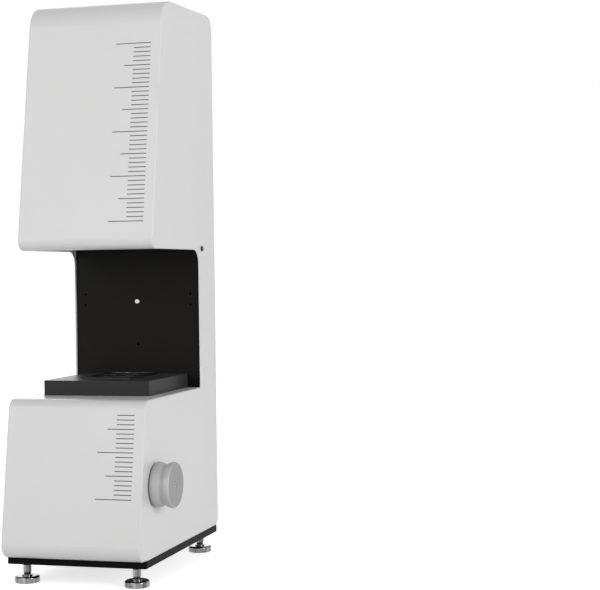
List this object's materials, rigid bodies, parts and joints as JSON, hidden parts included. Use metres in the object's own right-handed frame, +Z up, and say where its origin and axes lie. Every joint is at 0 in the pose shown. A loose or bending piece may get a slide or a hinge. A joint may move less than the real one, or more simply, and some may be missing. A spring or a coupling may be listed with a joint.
{
  "type": "measuring microscope",
  "caption": "Upright video measuring microscope: C-shaped white housing over a glass-topped stage, hand knob lifts the stage for focus, levelling feet.",
  "frame": {"origin": "middle of the outline on the bench, under the levelling feet", "axes": "+Z up, -Y towards the user (the throat's open side), +X towards the hand knob's side"},
  "size_m": [0.278, 0.4048, 0.9711],
  "materials": {
    "white_paint": "fine-textured powder coat, off-white",
    "black_paint": "satin black powder coat",
    "dark_grey_paint": "satin dark grey",
    "black_oxide": "black oxide steel",
    "bright_steel": "bright plated steel",
    "ground_steel": "ground steel",
    "aluminium_plain": "machined aluminium",
    "knob_grey": "bead-blasted aluminium, satin",
    "black_anodised": "black anodised aluminium",
    "clear_glass": "polished plate glass",
    "opal_plastic": "opal diffuser",
    "black_plastic": "moulded plastic",
    "board_green": "circuit board with solder mask",
    "bronze": "bearing bronze",
    "nylon": "natural nylon"
  },
  "bodies": {
    "tower": {"base_plate": "black_paint", "foot_lock_nuts": "black_oxide", "housing_screws": "ground_steel", "housing": "white_paint", "cheek_screws": "black_oxide", "rear_cover": "white_paint", "rear_cover_screws": "black_oxide", "usb_socket": "bright_steel", "power_socket": "black_plastic", "switch_frame": "black_plastic", "frame_post_left": "black_paint", "frame_post_right": "black_paint", "frame_screws": "black_oxide", "frame_crossbars": "black_paint", "throat_panel": "black_paint", "button_screws": "bright_steel", "head_floor": "black_paint", "ring_light_housing": "black_anodised", "ring_light_board": "board_green", "ring_light_diffuser": "opal_plastic", "lens_plate": "aluminium_plain", "lens_clamps": "black_anodised", "lens_barrel": "black_anodised", "lens_glass": "clear_glass", "camera_mount_ring": "aluminium_plain", "camera_body": "black_anodised", "lift_foot_block": "aluminium_plain", "lift_bridge": "aluminium_plain", "guide_rods": "ground_steel", "ball_bearings": "ground_steel", "shaft_bracket": "aluminium_plain", "shaft_bush": "bronze", "controller_board": "board_green", "board_standoffs": "nylon"},
    "hand_knob": {"knob": "knob_grey", "knob_screw": "bright_steel", "knob_shaft": "ground_steel", "shaft_gear": "ground_steel"},
    "drive_screw": {"lead_screw": "ground_steel", "screw_gear": "ground_steel"},
    "stage": {"lift_carriage": "aluminium_plain", "lift_nut": "bronze", "linear_bushings": "ground_steel", "stage_bed": "aluminium_plain", "stage_cover": "dark_grey_paint", "stage_screws": "ground_steel", "glass_frame": "black_anodised", "stage_glass": "clear_glass", "backlight_housing": "black_anodised", "backlight_board": "board_green", "backlight_diffuser": "opal_plastic"},
    "rocker": {"power_rocker": "black_plastic"},
    "pad_front_left": {"foot_pad_front_left": "bright_steel"},
    "stem_front_left": {"foot_stem_front_left": "bright_steel"},
    "pad_front_right": {"foot_pad_front_right": "bright_steel"},
    "stem_front_right": {"foot_stem_front_right": "bright_steel"},
    "pad_rear_left": {"foot_pad_rear_left": "bright_steel"},
    "stem_rear_left": {"foot_stem_rear_left": "bright_steel"},
    "pad_rear_right": {"foot_pad_rear_right": "bright_steel"},
    "stem_rear_right": {"foot_stem_rear_right": "bright_steel"}
  },
  "joints": [
    {"name": "knob_turn", "type": "hinge", "parent": "tower", "child": "hand_knob", "pos_m": [-0.01628, -0.12569, 0.162], "axis": [1, 0, 0], "range_deg": [-1801, 1081]},
    {"name": "lead_screw_turn", "type": "hinge", "parent": "tower", "child": "drive_screw", "pos_m": [-0.01628, -0.12569, 0.162], "axis": [0, 0, 1], "range_deg": [-1801, 1081]},
    {"name": "stage_lift", "type": "slide", "parent": "tower", "child": "stage", "axis": [0, 0, 1], "range_m": [-0.015, 0.025]},
    {"name": "power_rock", "type": "hinge", "parent": "tower", "child": "rocker", "pos_m": [0.00773, 0.19481, 0.14], "axis": [1, 0, 0], "range_deg": [0, 20]},
    {"name": "foot_front_left_height", "type": "slide", "parent": "tower", "child": "pad_front_left", "axis": [0, 0, 1], "range_m": [-0.008, 0]},
    {"name": "foot_front_left_turn", "type": "hinge", "parent": "pad_front_left", "child": "stem_front_left", "pos_m": [-0.11278, -0.15419, 0.0076], "axis": [0, 0, 1], "range_deg": [-2305, 0]},
    {"name": "foot_front_right_height", "type": "slide", "parent": "tower", "child": "pad_front_right", "axis": [0, 0, 1], "range_m": [-0.008, 0]},
    {"name": "foot_front_right_turn", "type": "hinge", "parent": "pad_front_right", "child": "stem_front_right", "pos_m": [0.08023, -0.15419, 0.0076], "axis": [0, 0, 1], "range_deg": [-2305, 0]},
    {"name": "foot_rear_left_height", "type": "slide", "parent": "tower", "child": "pad_rear_left", "axis": [0, 0, 1], "range_m": [-0.008, 0]},
    {"name": "foot_rear_left_turn", "type": "hinge", "parent": "pad_rear_left", "child": "stem_rear_left", "pos_m": [-0.11278, 0.15881, 0.0076], "axis": [0, 0, 1], "range_deg": [-2305, 0]},
    {"name": "foot_rear_right_height", "type": "slide", "parent": "tower", "child": "pad_rear_right", "axis": [0, 0, 1], "range_m": [-0.008, 0]},
    {"name": "foot_rear_right_turn", "type": "hinge", "parent": "pad_rear_right", "child": "stem_rear_right", "pos_m": [0.08023, 0.15881, 0.0076], "axis": [0, 0, 1], "range_deg": [-2305, 0]}
  ],
  "couplings": [
    {"joint": "knob_turn", "follows": "stage_lift", "rad_per_m": -1256.6},
    {"joint": "lead_screw_turn", "follows": "stage_lift", "rad_per_m": -1256.6},
    {"joint": "foot_front_left_turn", "follows": "foot_front_left_height", "rad_per_m": 5026.5},
    {"joint": "foot_front_right_turn", "follows": "foot_front_right_height", "rad_per_m": 5026.5},
    {"joint": "foot_rear_left_turn", "follows": "foot_rear_left_height", "rad_per_m": 5026.5},
    {"joint": "foot_rear_right_turn", "follows": "foot_rear_right_height", "rad_per_m": 5026.5}
  ]
}
